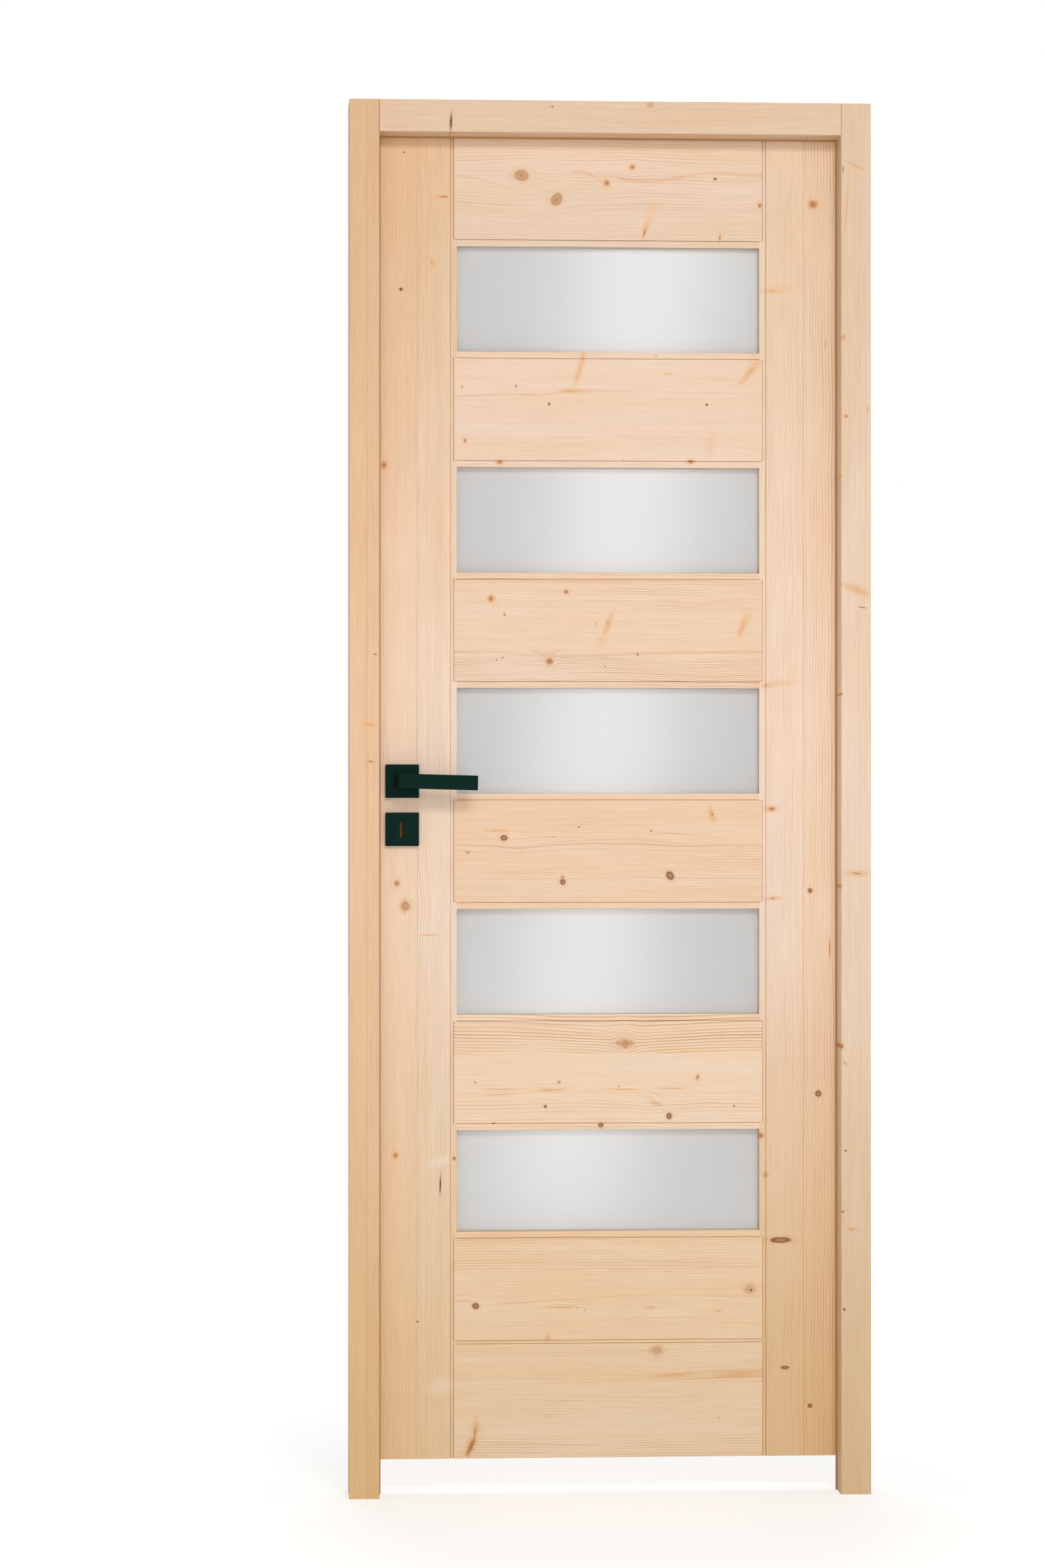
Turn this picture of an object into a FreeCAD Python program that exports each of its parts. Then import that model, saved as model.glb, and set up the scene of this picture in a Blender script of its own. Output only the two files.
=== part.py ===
# Interior door hung in its frame: a spruce frame with no threshold, a spruce leaf of two stiles
# and seven boards around five panes of satin glass, square roses with flat levers, a mortise
# lock, a strike plate, a seal in the stops and three lift-off hinges.
# Millimetres. The push side faces -Y, +X is to the right and +Z is up. The origin is on the
# outer face of the hinge jamb, at its foot and in the middle of its depth.
import FreeCAD, Part
import math
import os

V = FreeCAD.Vector

# Frame
frame_width = 780.0
frame_height = 2080.0
frame_depth = 90.0
jamb_face = 45.0
head_face = 48.0
rebate = 15.0            # how far the stops reach in front of the leaf
frame_arris = 2.5        # rounding of the stops' front edges

# Gaps around the leaf
edge_gap = 5.0
stop_gap = 5.0
floor_gap = 51.0

# Leaf
leaf_thickness = 40.0
lock_bevel = 2.0         # the lock edge leans back so that it swings clear of the jamb
stile_face = 117.0
lip = 10.0               # flat strip around each pane, set back from the faces
lip_step = 2.0
channel = 5.5            # groove that shows between two boards, or a board's end and a stile
board_face = 153.0
bottom_face = 171.0
top_face = 163.0
pane_count = 5
low_pane_less = 6.0      # the lowest pane is this much lower than the others
face_arris = 0.8         # rounding of the boards' and stiles' face edges
quirk_width = 1.0        # fine line cut beside each face's edge
quirk_depth = 1.5

# Joints of the leaf's pieces
groove_width = 6.0
groove_depth = 9.0
tongue_play = 0.2        # each side of a tongue
tongue_end_play = 0.5
glass_thickness = 4.0
glass_end_play = 1.0

# Seal in the stops
seal_stem = 3.0
seal_stem_depth = 6.0
seal_width = 6.0
seal_shoulder = 1.5
seal_play = 0.5          # between the seal and the shut leaf
seal_inset = 4.0         # from the stop's inner face to the middle of the seal's stem
seal_show = 2.5          # how far the seal stands out past the stop's inner face

# Lock, lever set and strike
handle_height = 1015.0   # above the leaf's lower edge
backset = 45.0
key_drop = 72.0
case_thickness = 16.0
case_depth = 76.0
case_over_spindle = 46.0
case_under_key = 44.0
faceplate_width = 20.0
faceplate_height = 235.0
faceplate_thickness = 3.0
latch_height = 24.0
latch_width = 11.0
latch_drop = 2.0         # latch middle below the spindle
bolt_height = 34.0
bolt_width = 10.0
bolt_length = 38.0
strike_width = 24.0
strike_height = 180.0
strike_thickness = 2.0
socket_play = 2.0        # window of the strike around latch and bolt, each side
socket_depth = 14.0
rose_size = 50.0
rose_thickness = 9.0
rose_arris = 1.0
spindle_side = 8.0
spindle_hole = 10.0      # radius of the hole through the stile
hub_hole = 6.5           # radius of the hole through the lock case
collar_radius = 9.0
collar_play = 0.05
keyhole_radius = 4.2
keyhole_length = 21.6
keyhole_neck = 5.2
keyhole_foot = 7.6
key_passage_width = 10.0
key_passage_length = 25.0

# Levers
lever_reach = 60.0       # from the leaf's face to the lever's front
lever_height = 22.0
lever_thickness = 9.0
lever_length = 111.0     # from the spindle's axis to the tip
neck_width = 16.0
lever_droop = 1.5
lever_corner = 3.0
lever_arris = 0.8

# Hinges
hinge_count = 3
hinge_height = 110.0
hinge_plate_depth = 30.0
hinge_plate = 2.5
knuckle_radius = 7.0
hinge_standoff = 7.5     # axis behind the leaf's back face
hinge_pin_radius = 4.0
hinge_pin_play = 0.05
hinge_pin_end = 5.0      # left free above the pin in the knuckle
knuckle_play = 0.3
hinge_end_distance = 180.0   # from the leaf's ends to the outer hinges' middles

# Places that follow from these sizes
y_front = -frame_depth / 2
y_back = frame_depth / 2
leaf_y1 = y_back
leaf_y0 = leaf_y1 - leaf_thickness
stop_y = leaf_y0 - stop_gap
leaf_mid_y = (leaf_y0 + leaf_y1) / 2
lock_outer_x = -frame_width
lock_stop_x = lock_outer_x + jamb_face
lock_rebate_x = lock_stop_x - rebate
hinge_stop_x = -jamb_face
hinge_rebate_x = hinge_stop_x + rebate
head_under_z = frame_height - head_face
head_rebate_z = head_under_z + rebate
leaf_x0 = lock_rebate_x + edge_gap
leaf_x1 = hinge_rebate_x - edge_gap
leaf_z0 = floor_gap
leaf_z1 = head_rebate_z - edge_gap
wood_height = bottom_face + channel + pane_count * (board_face + 2 * lip) + top_face
pane_opening = (leaf_z1 - leaf_z0 - wood_height + low_pane_less) / pane_count
low_pane_opening = pane_opening - low_pane_less
stile_in_0 = leaf_x0 + stile_face
stile_in_1 = leaf_x1 - stile_face
lip_in_0 = stile_in_0 + lip
lip_in_1 = stile_in_1 - lip
spindle_x = leaf_x0 + backset
spindle_z = leaf_z0 + handle_height
key_z = spindle_z - key_drop
hinge_x = (leaf_x1 + hinge_rebate_x) / 2
hinge_y = leaf_y1 + hinge_standoff
tongue_width = groove_width - 2 * tongue_play
tongue_length = groove_depth - tongue_end_play


def box(x0, x1, y0, y1, z0, z1):
    return Part.makeBox(x1 - x0, y1 - y0, z1 - z0, V(x0, y0, z0))


def prism(points, along):
    # A closed outline of points, pushed along a vector.
    wire = Part.makePolygon(points + [points[0]])
    return Part.Face(wire).extrude(along)


def round_edges(shape, radius, wanted):
    chosen = [edge for edge in shape.Edges if wanted(edge)]
    return shape.makeFillet(radius, chosen)


def mid(edge):
    return edge.BoundBox.Center


def runs_along(edge, axis):
    box_of = edge.BoundBox
    lengths = {"x": box_of.XLength, "y": box_of.YLength, "z": box_of.ZLength}
    return lengths[axis] > 0.9 * edge.Length and lengths[axis] > 1.0


def mirrored_leafwise(shape):
    # The same piece for the leaf's other face.
    return shape.mirror(V(0, leaf_mid_y, 0), V(0, 1, 0))


def save(name, shape):
    shape.exportStep("parts/" + name + ".step")


# Frame: the jambs run the whole height and the head is cut in between them
def jamb(outer_x, stop_x, rebate_x):
    outline = [V(outer_x, y_front, 0), V(stop_x, y_front, 0), V(stop_x, stop_y, 0),
               V(rebate_x, stop_y, 0), V(rebate_x, y_back, 0), V(outer_x, y_back, 0)]
    post = prism(outline, V(0, 0, frame_height))
    inward = math.copysign(1, stop_x - outer_x)
    seal_x = stop_x - inward * seal_inset
    post = post.cut(box(seal_x - seal_stem / 2, seal_x + seal_stem / 2,
                        stop_y - seal_stem_depth, stop_y, 0, side_seal_top))
    return round_edges(post, frame_arris, lambda edge: runs_along(edge, "z")
                       and abs(mid(edge).x - stop_x) < 0.1 and abs(mid(edge).y - y_front) < 0.1)


def head():
    outline = [V(lock_stop_x, y_front, frame_height), V(lock_stop_x, y_front, head_under_z),
               V(lock_stop_x, stop_y, head_under_z), V(lock_stop_x, stop_y, frame_height)]
    front = prism(outline, V(hinge_stop_x - lock_stop_x, 0, 0))
    front = round_edges(front, frame_arris, lambda edge: runs_along(edge, "x")
                        and abs(mid(edge).z - head_under_z) < 0.1
                        and abs(mid(edge).y - y_front) < 0.1)
    back = box(lock_rebate_x, hinge_rebate_x, stop_y, y_back, head_rebate_z, frame_height)
    groove = box(lock_stop_x, hinge_stop_x, stop_y - seal_stem_depth, stop_y,
                 head_seal_z - seal_stem / 2, head_seal_z + seal_stem / 2)
    return front.fuse(back).removeSplitter().cut(groove)


# Seal: a stem in the stop's groove and a soft round lip in front of the leaf
head_seal_z = head_under_z + seal_inset
side_seal_top = head_seal_z + seal_width / 2
seal_tip_y = leaf_y0 - seal_play


def seal_section(place):
    # place turns (inward, depth) into a point of the section, inward being towards the opening
    outer = -seal_width / 2
    inner = seal_inset + seal_show
    stem = seal_stem / 2
    shoulder_y = stop_y + seal_shoulder
    points = [place(-stem, stop_y), place(-stem, stop_y - seal_stem_depth),
              place(stem, stop_y - seal_stem_depth), place(stem, stop_y), place(inner, stop_y),
              place(inner, shoulder_y)]
    edges = [Part.LineSegment(a, b).toShape() for a, b in zip(points, points[1:])]
    outer_shoulder = place(outer, shoulder_y)
    edges.append(Part.Arc(points[-1], place((outer + inner) / 2, seal_tip_y),
                          outer_shoulder).toShape())
    edges.append(Part.LineSegment(outer_shoulder, place(outer, stop_y)).toShape())
    edges.append(Part.LineSegment(place(outer, stop_y), points[0]).toShape())
    return Part.Face(Part.Wire(edges))


def side_seal(seal_x, inward):
    section = seal_section(lambda across, depth: V(seal_x + inward * across, depth, 0))
    return section.extrude(V(0, 0, side_seal_top))


def head_seal():
    x0 = lock_stop_x + seal_show
    x1 = hinge_stop_x - seal_show
    section = seal_section(lambda across, depth: V(x0, depth, head_seal_z - across))
    return section.extrude(V(x1 - x0, 0, 0))


# Leaf: stiles with a stepped lip and a groove, boards with lips and stub tongues
def stile(outer_x, face_x, lip_x, bevel):
    inward = math.copysign(1, face_x - outer_x)
    groove_x = lip_x - inward * groove_depth
    y0 = leaf_y0
    y1 = leaf_y1
    g0 = leaf_mid_y - groove_width / 2
    g1 = leaf_mid_y + groove_width / 2
    quirk_x = face_x + inward * quirk_width
    deep = lip_step + quirk_depth
    outline = [V(outer_x + inward * bevel, y0, leaf_z0), V(face_x, y0, leaf_z0),
               V(face_x, y0 + deep, leaf_z0), V(quirk_x, y0 + deep, leaf_z0),
               V(quirk_x, y0 + lip_step, leaf_z0), V(lip_x, y0 + lip_step, leaf_z0),
               V(lip_x, g0, leaf_z0), V(groove_x, g0, leaf_z0), V(groove_x, g1, leaf_z0),
               V(lip_x, g1, leaf_z0), V(lip_x, y1 - lip_step, leaf_z0),
               V(quirk_x, y1 - lip_step, leaf_z0), V(quirk_x, y1 - deep, leaf_z0),
               V(face_x, y1 - deep, leaf_z0), V(face_x, y1, leaf_z0), V(outer_x, y1, leaf_z0)]
    post = prism(outline, V(0, 0, leaf_z1 - leaf_z0))
    return round_edges(post, face_arris, lambda edge: runs_along(edge, "z")
                       and abs(mid(edge).y - leaf_mid_y) > leaf_thickness / 2 - 0.1)


def quirks(x0, x1, z0, z1):
    # The cut of one fine line into the lips' surface, in front and behind.
    deep = lip_step + quirk_depth
    return [box(x0, x1, leaf_y0 + lip_step, leaf_y0 + deep, z0, z1),
            box(x0, x1, leaf_y1 - deep, leaf_y1 - lip_step, z0, z1)]


def end_quirks(z0, z1):
    # The fine lines that the stiles carry at the ends of a board's face.
    left = stile_in_0 + channel
    right = stile_in_1 - channel
    return quirks(left - quirk_width, left, z0, z1) + quirks(right, right + quirk_width, z0, z1)


def board(z0, z1, lip_below, lip_above):
    # z0 and z1 are the face's edges. lip_below and lip_above are the strips beyond them.
    face_x0 = stile_in_0 + channel
    face_x1 = stile_in_1 - channel
    body = box(face_x0, face_x1, leaf_y0, leaf_y1, z0, z1)
    body = round_edges(body, face_arris, lambda edge: not runs_along(edge, "y"))
    for x0, x1 in ((face_x0, lip_in_0), (lip_in_1, face_x1)):
        body = body.cut(box(x0, x1, leaf_y0 + lip_step, leaf_y1 - lip_step, z0, z1))
    core = box(lip_in_0, lip_in_1, leaf_y0 + lip_step, leaf_y1 - lip_step,
               z0 - lip_below, z1 + lip_above)
    for line_z, lip_there in ((z0 - quirk_width, lip_below), (z1, lip_above)):
        if lip_there > 0:
            core = core.cut(Part.makeCompound(quirks(lip_in_0, lip_in_1, line_z,
                                                     line_z + quirk_width)))
    tongues = box(lip_in_0 - tongue_length, lip_in_1 + tongue_length,
                  leaf_mid_y - tongue_width / 2, leaf_mid_y + tongue_width / 2,
                  z0 - lip_below, z1 + lip_above)
    return body.fuse([core, tongues]).removeSplitter()


def long_groove(edge_z, inward):
    # The groove along a board's upper or lower edge, for the glass or the next board's tongue.
    z0, z1 = sorted((edge_z, edge_z + inward * groove_depth))
    reach = tongue_length + 1.0
    return box(lip_in_0 - reach, lip_in_1 + reach, leaf_mid_y - groove_width / 2,
               leaf_mid_y + groove_width / 2, z0, z1)


def pane(z0, z1):
    side = groove_depth - glass_end_play
    return box(lip_in_0 - side, lip_in_1 + side, leaf_mid_y - glass_thickness / 2,
               leaf_mid_y + glass_thickness / 2, z0 - groove_depth, z1 + side)


# Hinges: each half is a plate let into the wood with a knuckle on it
def hinge_middles():
    low = leaf_z0 + hinge_end_distance
    high = leaf_z1 - hinge_end_distance
    return [low + (high - low) * i / (hinge_count - 1) for i in range(hinge_count)]


def hinge_plate_box(wood_x, inward, z_mid):
    x0, x1 = sorted((wood_x, wood_x + inward * hinge_plate))
    return box(x0, x1, leaf_y1 - hinge_plate_depth, leaf_y1,
               z_mid - hinge_height / 2, z_mid + hinge_height / 2)


def hinge_half(wood_x, inward, z_mid, z0, z1):
    plate = hinge_plate_box(wood_x, inward, z_mid)
    x0, x1 = sorted((wood_x, wood_x + inward * hinge_plate))
    tongue = box(x0, x1, leaf_y1, hinge_y, z0, z1)
    knuckle = Part.makeCylinder(knuckle_radius, z1 - z0, V(hinge_x, hinge_y, z0))
    return plate.fuse([tongue, knuckle]).removeSplitter()


def hinge_frame_half(z_mid):
    z0 = z_mid - hinge_height / 2
    half = hinge_half(hinge_rebate_x, 1, z_mid, z0, z_mid - knuckle_play / 2)
    pin_length = hinge_height - hinge_pin_end
    pin = Part.makeCylinder(hinge_pin_radius, pin_length, V(hinge_x, hinge_y, z0))
    return half.fuse(pin).removeSplitter()


def hinge_leaf_half(z_mid):
    z1 = z_mid + hinge_height / 2
    half = hinge_half(leaf_x1, -1, z_mid, z_mid + knuckle_play / 2, z1)
    bore_length = hinge_height / 2 - hinge_pin_end / 2
    bore = Part.makeCylinder(hinge_pin_radius + hinge_pin_play, bore_length,
                             V(hinge_x, hinge_y, z_mid))
    return half.cut(bore)


# Lock: a case let into the stile, its faceplate flush with the bevelled edge
case_x1 = leaf_x0 + case_depth
case_z0 = key_z - case_under_key
case_z1 = spindle_z + case_over_spindle
latch_z = spindle_z - latch_drop
plate_mid_z = (case_z0 + case_z1) / 2


def centred(x0, x1, width, z_mid, height):
    # A box in the middle of the leaf's thickness.
    return box(x0, x1, leaf_mid_y - width / 2, leaf_mid_y + width / 2,
               z_mid - height / 2, z_mid + height / 2)


def leaf_block():
    # The leaf's outer form, used to cut the lock's front to the bevel.
    outline = [V(leaf_x0 + lock_bevel, leaf_y0, leaf_z0), V(leaf_x1, leaf_y0, leaf_z0),
               V(leaf_x1, leaf_y1, leaf_z0), V(leaf_x0, leaf_y1, leaf_z0)]
    return prism(outline, V(0, 0, leaf_z1 - leaf_z0))


def faceplate_blank():
    inner_x = leaf_x0 + lock_bevel + faceplate_thickness
    return centred(leaf_x0, inner_x, faceplate_width, plate_mid_z, faceplate_height)


def case_blank():
    return centred(leaf_x0, case_x1, case_thickness, plate_mid_z, case_z1 - case_z0)


def latch_bolt():
    blank = centred(leaf_x0, leaf_x0 + bolt_length, latch_width, latch_z, latch_height)
    return blank.common(leaf_block())


def dead_bolt():
    blank = centred(leaf_x0, leaf_x0 + bolt_length, bolt_width, key_z, bolt_height)
    return blank.common(leaf_block())


def keyhole(y0, y1, radius, length, neck, foot):
    # Round above, with a slot below it that widens towards its foot.
    centre_z = key_z + length / 2 - radius
    foot_z = key_z - length / 2
    hole = Part.makeCylinder(radius, y1 - y0, V(spindle_x, y0, centre_z), V(0, 1, 0))
    outline = [V(spindle_x - neck / 2, y0, centre_z), V(spindle_x - foot / 2, y0, foot_z),
               V(spindle_x + foot / 2, y0, foot_z), V(spindle_x + neck / 2, y0, centre_z)]
    return hole.fuse(prism(outline, V(0, y1 - y0, 0)))


def key_passage(y0, y1):
    return box(spindle_x - key_passage_width / 2, spindle_x + key_passage_width / 2, y0, y1,
               key_z - key_passage_length / 2, key_z + key_passage_length / 2)


def across_leaf(radius):
    return Part.makeCylinder(radius, leaf_thickness, V(spindle_x, leaf_y0, spindle_z), V(0, 1, 0))


def lock_case():
    case = case_blank().fuse(faceplate_blank()).common(leaf_block()).removeSplitter()
    case = case.cut(latch_bolt()).cut(dead_bolt()).cut(across_leaf(hub_hole))
    return case.cut(keyhole(leaf_y0, leaf_y1, keyhole_radius, keyhole_length,
                            keyhole_neck, keyhole_foot))


def strike_plate():
    plate = centred(lock_rebate_x - strike_thickness, lock_rebate_x, strike_width,
                    plate_mid_z, strike_height)
    for window in strike_windows():
        plate = plate.cut(window)
    return plate


def strike_windows():
    x0 = lock_rebate_x - socket_depth
    extra = 2 * socket_play
    return [centred(x0, lock_rebate_x, latch_width + extra, latch_z, latch_height + extra),
            centred(x0, lock_rebate_x, bolt_width + extra, key_z, bolt_height + extra)]


# Roses and levers, made for the front and mirrored for the back
def rose(z_mid):
    half = rose_size / 2
    plate = box(spindle_x - half, spindle_x + half, leaf_y0 - rose_thickness, leaf_y0,
                z_mid - half, z_mid + half)
    outer_y = leaf_y0 - rose_thickness
    return round_edges(plate, rose_arris, lambda edge: runs_along(edge, "y")
                       or mid(edge).y < outer_y + 0.1)


def lever_rose():
    bore = Part.makeCylinder(collar_radius + collar_play, rose_thickness,
                             V(spindle_x, leaf_y0 - rose_thickness, spindle_z), V(0, 1, 0))
    return rose(spindle_z).cut(bore)


def key_rose():
    return rose(key_z).cut(keyhole(leaf_y0 - rose_thickness, leaf_y0, keyhole_radius,
                                   keyhole_length, keyhole_neck, keyhole_foot))


def spindle():
    inset = lever_thickness
    y0 = leaf_y0 - lever_reach + inset
    y1 = leaf_y1 + lever_reach - inset
    half = spindle_side / 2
    return box(spindle_x - half, spindle_x + half, y0, y1, spindle_z - half, spindle_z + half)


def lever():
    # A flat bar bent once: the neck stands on the rose and the grip runs along the leaf.
    rose_y = leaf_y0 - rose_thickness
    neck_foot_y = rose_y - 1.0
    grip_y0 = leaf_y0 - lever_reach
    grip_y1 = grip_y0 + lever_thickness
    x0 = spindle_x - neck_width / 2
    x1 = spindle_x + neck_width / 2
    tip_x = spindle_x + lever_length
    z0 = spindle_z - lever_height / 2
    outline = [V(x0, neck_foot_y, z0), V(x0, grip_y0, z0), V(tip_x, grip_y0, z0),
               V(tip_x, grip_y1, z0), V(x1, grip_y1, z0), V(x1, neck_foot_y, z0)]
    body = prism(outline, V(0, 0, lever_height))
    body = round_edges(body, lever_corner, lambda edge: runs_along(edge, "z")
                       and mid(edge).y < grip_y1 + 0.1 and mid(edge).x < tip_x - 0.1)
    body = round_edges(body, lever_arris, lambda edge: abs(mid(edge).y - grip_y0) < 0.01
                       or (runs_along(edge, "z") and abs(mid(edge).x - tip_x) < 0.01))
    body.rotate(V(spindle_x, 0, spindle_z), V(0, 1, 0), lever_droop)
    collar = Part.makeCylinder(collar_radius, rose_thickness + 1.0 - 0.5,
                               V(spindle_x, neck_foot_y, spindle_z), V(0, 1, 0))
    return body.fuse(collar).removeSplitter().cut(spindle())


# Make every piece
os.makedirs("parts", exist_ok=True)

lock_jamb = jamb(lock_outer_x, lock_stop_x, lock_rebate_x)
for window in strike_windows():
    lock_jamb = lock_jamb.cut(window)
lock_jamb = lock_jamb.cut(centred(lock_rebate_x - strike_thickness, lock_rebate_x, strike_width,
                                  plate_mid_z, strike_height))
hinge_jamb = jamb(0, hinge_stop_x, hinge_rebate_x)
bottom_top = leaf_z0 + bottom_face
face_rows = [(leaf_z0, bottom_top)]
z = bottom_top + channel
for number in range(pane_count + 1):
    last = number == pane_count
    face_rows.append((z, z + (top_face if last else board_face)))
    z = face_rows[-1][1] + 2 * lip + (low_pane_opening if number == 0 else pane_opening)
end_lines = Part.makeCompound([line for row in face_rows for line in end_quirks(*row)])
lock_stile = stile(leaf_x0, stile_in_0, lip_in_0, lock_bevel)
lock_stile = lock_stile.cut(case_blank()).cut(faceplate_blank()).cut(across_leaf(spindle_hole))
lock_stile = lock_stile.cut(key_passage(leaf_y0, leaf_y1))
lock_stile = lock_stile.cut(end_lines)
hinge_stile = stile(leaf_x1, stile_in_1, lip_in_1, 0).cut(end_lines)
for number, z_mid in enumerate(hinge_middles(), 1):
    hinge_jamb = hinge_jamb.cut(hinge_plate_box(hinge_rebate_x, 1, z_mid))
    hinge_stile = hinge_stile.cut(hinge_plate_box(leaf_x1, -1, z_mid))
    save("hinge_frame_half_%d" % number, hinge_frame_half(z_mid))
    save("hinge_leaf_half_%d" % number, hinge_leaf_half(z_mid))
save("lock_jamb", lock_jamb)
save("hinge_jamb", hinge_jamb)
save("head_jamb", head())
save("seal_lock_side", side_seal(lock_stop_x - seal_inset, 1))
save("seal_hinge_side", side_seal(hinge_stop_x + seal_inset, -1))
save("seal_head", head_seal())
save("strike_plate", strike_plate())
save("lock_stile", lock_stile)
save("hinge_stile", hinge_stile)

# The two bottom boards meet in a tongue and groove, the others each carry glass above
bottom_board = board(leaf_z0, bottom_top, 0, channel)
bottom_board = bottom_board.fuse(box(lip_in_0, lip_in_1, leaf_mid_y - tongue_width / 2,
                                     leaf_mid_y + tongue_width / 2, bottom_top + channel,
                                     bottom_top + channel + tongue_length)).removeSplitter()
for line in quirks(lip_in_0, lip_in_1, bottom_top + channel - quirk_width, bottom_top + channel):
    bottom_board = bottom_board.cut(line)
save("bottom_board", bottom_board)
for number, (z0, z1) in enumerate(face_rows[1:]):
    first = number == 0
    last = number == pane_count
    piece = board(z0, z1, 0 if first else lip, 0 if last else lip)
    piece = piece.cut(long_groove(z0 if first else z0 - lip, 1))
    if not last:
        piece = piece.cut(long_groove(z1 + lip, -1))
        next_face_z = face_rows[number + 2][0]
        save("glass_%d" % (number + 1), pane(z1 + lip, next_face_z - lip))
    name = "lower_board" if first else "top_board" if last else "middle_board_%d" % number
    save(name, piece)

save("lock_case", lock_case())
save("latch_bolt", latch_bolt())
save("dead_bolt", dead_bolt())
save("rose_front", lever_rose())
save("rose_back", mirrored_leafwise(lever_rose()))
save("key_rose_front", key_rose())
save("key_rose_back", mirrored_leafwise(key_rose()))
save("lever_front", lever())
save("lever_back", mirrored_leafwise(lever()))
save("spindle", spindle())
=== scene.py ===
"""Dresses the prehung interior door: knotty pine, satin glass, black levers, steel hinges."""
from math import radians

import bpy
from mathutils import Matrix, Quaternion, Vector


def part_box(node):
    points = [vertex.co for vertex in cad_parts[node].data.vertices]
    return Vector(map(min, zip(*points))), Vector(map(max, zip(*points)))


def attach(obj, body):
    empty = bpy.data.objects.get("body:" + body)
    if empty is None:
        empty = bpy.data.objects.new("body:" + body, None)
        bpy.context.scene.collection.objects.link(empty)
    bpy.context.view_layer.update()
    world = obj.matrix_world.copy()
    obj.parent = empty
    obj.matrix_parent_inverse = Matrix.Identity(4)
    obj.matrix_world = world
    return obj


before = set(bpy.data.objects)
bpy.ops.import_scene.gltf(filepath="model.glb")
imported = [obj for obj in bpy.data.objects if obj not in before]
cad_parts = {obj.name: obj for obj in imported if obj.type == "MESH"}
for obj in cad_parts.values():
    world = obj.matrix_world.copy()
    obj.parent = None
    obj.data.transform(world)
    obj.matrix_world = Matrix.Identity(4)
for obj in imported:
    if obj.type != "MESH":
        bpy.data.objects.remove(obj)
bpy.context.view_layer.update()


def colour(code):
    """An sRGB hex colour as the linear red, green, blue and alpha that shaders take."""
    parts = [int(code[i:i + 2], 16) / 255 for i in (0, 2, 4)]
    return [p / 12.92 if p <= 0.04045 else ((p + 0.055) / 1.055) ** 2.4 for p in parts] + [1.0]


def node(tree, kind, inputs=(), **settings):
    """Adds one node. Its inputs come in order or by name, each a value, a socket or a node."""
    made = tree.nodes.new("ShaderNode" + kind)
    for name, value in settings.items():
        setattr(made, name, value)
    if not isinstance(inputs, dict):
        inputs = dict(zip([s.identifier for s in made.inputs if s.enabled], inputs))
    for name, value in inputs.items():
        socket = next(s for s in made.inputs if s.enabled and name in (s.identifier, s.name))
        if isinstance(value, bpy.types.Node):
            value = next(s for s in value.outputs if s.enabled)
        if isinstance(value, bpy.types.NodeSocket):
            tree.links.new(value, socket)
        elif value is not None:
            socket.default_value = value
    return made


def stops(ramp, places, interpolation="LINEAR"):
    """Sets a colour ramp's stops: place and red, green, blue, alpha each."""
    ramp.color_ramp.interpolation = interpolation
    elements = ramp.color_ramp.elements
    while len(elements) < len(places):
        elements.new(0.5)
    for element, (place, tone) in zip(elements, places):
        element.position = place
        element.color = tone
    return ramp


def new_material(name):
    """A new material with an empty node tree."""
    material = bpy.data.materials.new(name)
    material.use_nodes = True
    material.node_tree.nodes.clear()
    return material, material.node_tree


def finish_material(tree, shader):
    """Leads a shader to the material's output."""
    node(tree, "OutputMaterial", {"Surface": shader})


def speckle(tree, sizes, detail=2.0):
    """Noise that stays on the piece, with grains of so many millimetres along x, y and z."""
    place = node(tree, "Mapping", {"Vector": node(tree, "TexCoord").outputs["Object"],
                                   "Scale": [1000 / size for size in sizes]})
    return node(tree, "TexNoise", {"Vector": place, "Scale": 1.0, "Detail": detail})


# Camera: where the photograph was taken from, upright, turned 3.4 degrees to the right
CAMERA_PLACE = (-0.894, -6.336, 1.040)
CAMERA_TURN = (radians(90.197), 0, radians(-3.381))
FOCAL_LENGTH_MM = 97.2
SENSOR_WIDTH_MM = 36

bpy.ops.object.camera_add(location=CAMERA_PLACE, rotation=CAMERA_TURN)
camera = bpy.context.object
camera.data.lens = FOCAL_LENGTH_MM
camera.data.sensor_width = SENSOR_WIDTH_MM
bpy.context.scene.camera = camera
bpy.context.scene.view_settings.view_transform = "Standard"

# Studio: a white floor that glows a little, as a lit sweep does, and large soft lamps
DOOR_MIDDLE_X = -0.39
FLOOR_RADIUS = 16


def lamp(name, place, aim_height, size, power, lean=0):
    """A soft box that is aimed at the door's middle at a height, with its size in metres and
    its power in watts. Neither the camera nor a ray through the glass sees it. lean turns it
    about its own axis, in degrees."""
    aim = Vector((DOOR_MIDDLE_X, 0, aim_height))
    turn = (aim - Vector(place)).to_track_quat("-Z", "Y")
    turn = turn @ Quaternion((0, 0, 1), radians(lean))
    bpy.ops.object.light_add(type="AREA", location=place, rotation=turn.to_euler())
    made = bpy.context.object
    made.name = name
    made.data.shape = "RECTANGLE"
    made.data.size, made.data.size_y = size
    made.data.energy = power
    made.visible_camera = False
    made.visible_transmission = False


lamp("key_softbox", (0.1, -4.5, 3.45), 1.0, (1.8, 0.7), 66)
# Its reflection is the soft upright band in the panes
lamp("strip_softbox", (-0.078, -4.0, 1.25), 1.15, (0.3, 3.0), 32, lean=-5)
lamp("fill_softbox", (-2.2, -5.0, 1.3), 1.0, (2.0, 2.4), 17)
# It lights the back of the door and the ground behind it
lamp("back_softbox", (-0.4, 3.6, 4.4), 1.1, (3.0, 2.0), 76)

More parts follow.
